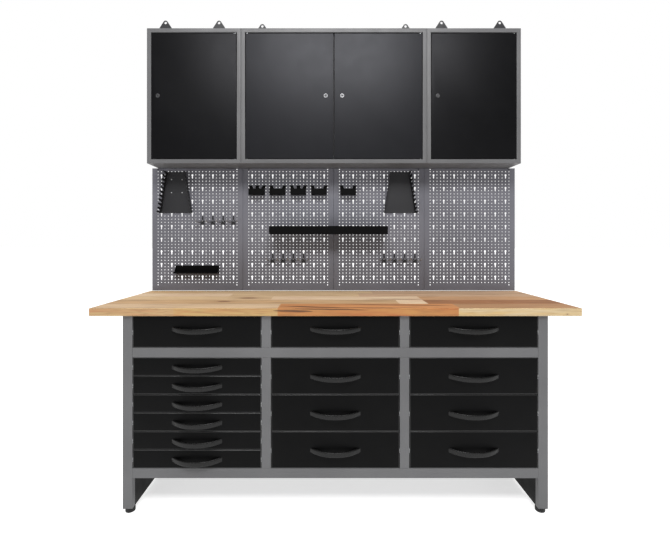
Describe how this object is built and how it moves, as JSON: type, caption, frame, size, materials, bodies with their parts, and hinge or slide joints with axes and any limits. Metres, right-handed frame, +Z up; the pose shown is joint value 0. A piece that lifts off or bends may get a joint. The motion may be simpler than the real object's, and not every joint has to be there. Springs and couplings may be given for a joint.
{
  "type": "workbench",
  "caption": "Long steel workbench with a wooden top and drawers under it, with perforated tool panels and lockable cabinets on the wall above.",
  "frame": {"origin": "middle of the footprint, on the floor", "axes": "+X to the user's right, +Y towards the wall, +Z up; the wall is the plane y = 0.308"},
  "size_m": [2, 0.616, 2.325],
  "materials": {
    "wood": "oiled",
    "grey_steel": "satin powder coat",
    "board_steel": "satin powder coat",
    "black_steel": "satin powder coat",
    "door_steel": "satin powder coat",
    "black_plastic": "fine grain",
    "chrome": "polished"
  },
  "bodies": {
    "bench": {"worktop": "wood", "front_leg_left": "grey_steel", "front_leg_right": "grey_steel", "rear_leg_left": "grey_steel", "rear_leg_right": "grey_steel", "front_foot_left": "black_plastic", "front_foot_right": "black_plastic", "rear_foot_left": "black_plastic", "rear_foot_right": "black_plastic", "side_panel_left": "black_steel", "side_panel_right": "black_steel", "mid_rail": "grey_steel", "floor_and_back": "grey_steel", "divider_left": "grey_steel", "divider_right": "grey_steel", "cabinet_left": "grey_steel", "cabinet_centre": "grey_steel", "cabinet_right": "grey_steel", "perforated_panel_1": "board_steel", "perforated_panel_2": "board_steel", "perforated_panel_3": "board_steel", "perforated_panel_4": "board_steel"},
    "drawer_left_1": {"drawer_left_1": "black_steel", "handle_left_1": "black_plastic"},
    "drawer_left_2": {"drawer_left_2": "black_steel", "handle_left_2": "black_plastic"},
    "drawer_left_3": {"drawer_left_3": "black_steel", "handle_left_3": "black_plastic"},
    "drawer_left_4": {"drawer_left_4": "black_steel", "handle_left_4": "black_plastic"},
    "drawer_left_5": {"drawer_left_5": "black_steel", "handle_left_5": "black_plastic"},
    "drawer_left_6": {"drawer_left_6": "black_steel", "handle_left_6": "black_plastic"},
    "drawer_left_top": {"drawer_left_top": "black_steel", "handle_left_top": "black_plastic"},
    "drawer_middle_1": {"drawer_middle_1": "black_steel", "handle_middle_1": "black_plastic"},
    "drawer_middle_2": {"drawer_middle_2": "black_steel", "handle_middle_2": "black_plastic"},
    "drawer_middle_3": {"drawer_middle_3": "black_steel", "handle_middle_3": "black_plastic"},
    "drawer_middle_top": {"drawer_middle_top": "black_steel", "handle_middle_top": "black_plastic"},
    "drawer_right_1": {"drawer_right_1": "black_steel", "handle_right_1": "black_plastic"},
    "drawer_right_2": {"drawer_right_2": "black_steel", "handle_right_2": "black_plastic"},
    "drawer_right_3": {"drawer_right_3": "black_steel", "handle_right_3": "black_plastic"},
    "drawer_right_top": {"drawer_right_top": "black_steel", "handle_right_top": "black_plastic"},
    "door_left": {"door_left": "door_steel"},
    "door_centre_left": {"door_centre_left": "door_steel"},
    "door_centre_right": {"door_centre_right": "door_steel"},
    "door_right": {"door_right": "door_steel"},
    "lock_left": {"lock_left": "chrome"},
    "lock_centre_left": {"lock_centre_left": "chrome"},
    "lock_centre_right": {"lock_centre_right": "chrome"},
    "lock_right": {"lock_right": "chrome"}
  },
  "joints": [
    {"name": "slide_left_1", "type": "slide", "parent": "bench", "child": "drawer_left_1", "axis": [0, -1, 0], "range_m": [0, 0.4]},
    {"name": "slide_left_2", "type": "slide", "parent": "bench", "child": "drawer_left_2", "axis": [0, -1, 0], "range_m": [0, 0.4]},
    {"name": "slide_left_3", "type": "slide", "parent": "bench", "child": "drawer_left_3", "axis": [0, -1, 0], "range_m": [0, 0.4]},
    {"name": "slide_left_4", "type": "slide", "parent": "bench", "child": "drawer_left_4", "axis": [0, -1, 0], "range_m": [0, 0.4]},
    {"name": "slide_left_5", "type": "slide", "parent": "bench", "child": "drawer_left_5", "axis": [0, -1, 0], "range_m": [0, 0.4]},
    {"name": "slide_left_6", "type": "slide", "parent": "bench", "child": "drawer_left_6", "axis": [0, -1, 0], "range_m": [0, 0.4]},
    {"name": "slide_left_top", "type": "slide", "parent": "bench", "child": "drawer_left_top", "axis": [0, -1, 0], "range_m": [0, 0.4]},
    {"name": "slide_middle_1", "type": "slide", "parent": "bench", "child": "drawer_middle_1", "axis": [0, -1, 0], "range_m": [0, 0.4]},
    {"name": "slide_middle_2", "type": "slide", "parent": "bench", "child": "drawer_middle_2", "axis": [0, -1, 0], "range_m": [0, 0.4]},
    {"name": "slide_middle_3", "type": "slide", "parent": "bench", "child": "drawer_middle_3", "axis": [0, -1, 0], "range_m": [0, 0.4]},
    {"name": "slide_middle_top", "type": "slide", "parent": "bench", "child": "drawer_middle_top", "axis": [0, -1, 0], "range_m": [0, 0.4]},
    {"name": "slide_right_1", "type": "slide", "parent": "bench", "child": "drawer_right_1", "axis": [0, -1, 0], "range_m": [0, 0.4]},
    {"name": "slide_right_2", "type": "slide", "parent": "bench", "child": "drawer_right_2", "axis": [0, -1, 0], "range_m": [0, 0.4]},
    {"name": "slide_right_3", "type": "slide", "parent": "bench", "child": "drawer_right_3", "axis": [0, -1, 0], "range_m": [0, 0.4]},
    {"name": "slide_right_top", "type": "slide", "parent": "bench", "child": "drawer_right_top", "axis": [0, -1, 0], "range_m": [0, 0.4]},
    {"name": "hinge_left", "type": "hinge", "parent": "bench", "child": "door_left", "pos_m": [-0.50665, 0.155, 1.859], "axis": [0, 0, 1], "range_deg": [0, 90]},
    {"name": "hinge_centre_left", "type": "hinge", "parent": "bench", "child": "door_centre_left", "pos_m": [-0.44335, 0.155, 1.859], "axis": [0, 0, -1], "range_deg": [0, 90]},
    {"name": "hinge_centre_right", "type": "hinge", "parent": "bench", "child": "door_centre_right", "pos_m": [0.44335, 0.155, 1.859], "axis": [0, 0, 1], "range_deg": [0, 90]},
    {"name": "hinge_right", "type": "hinge", "parent": "bench", "child": "door_right", "pos_m": [0.9235, 0.155, 1.859], "axis": [0, 0, 1], "range_deg": [0, 90]},
    {"name": "cam_left", "type": "hinge", "parent": "door_left", "child": "lock_left", "pos_m": [-0.8995, 0.16, 1.859], "axis": [0, 1, 0], "range_deg": [0, 90]},
    {"name": "cam_centre_left", "type": "hinge", "parent": "door_centre_left", "child": "lock_centre_left", "pos_m": [-0.042, 0.16, 1.859], "axis": [0, -1, 0], "range_deg": [0, 90]},
    {"name": "cam_centre_right", "type": "hinge", "parent": "door_centre_right", "child": "lock_centre_right", "pos_m": [0.042, 0.16, 1.859], "axis": [0, 1, 0], "range_deg": [0, 90]},
    {"name": "cam_right", "type": "hinge", "parent": "door_right", "child": "lock_right", "pos_m": [0.53065, 0.16, 1.859], "axis": [0, 1, 0], "range_deg": [0, 90]}
  ]
}
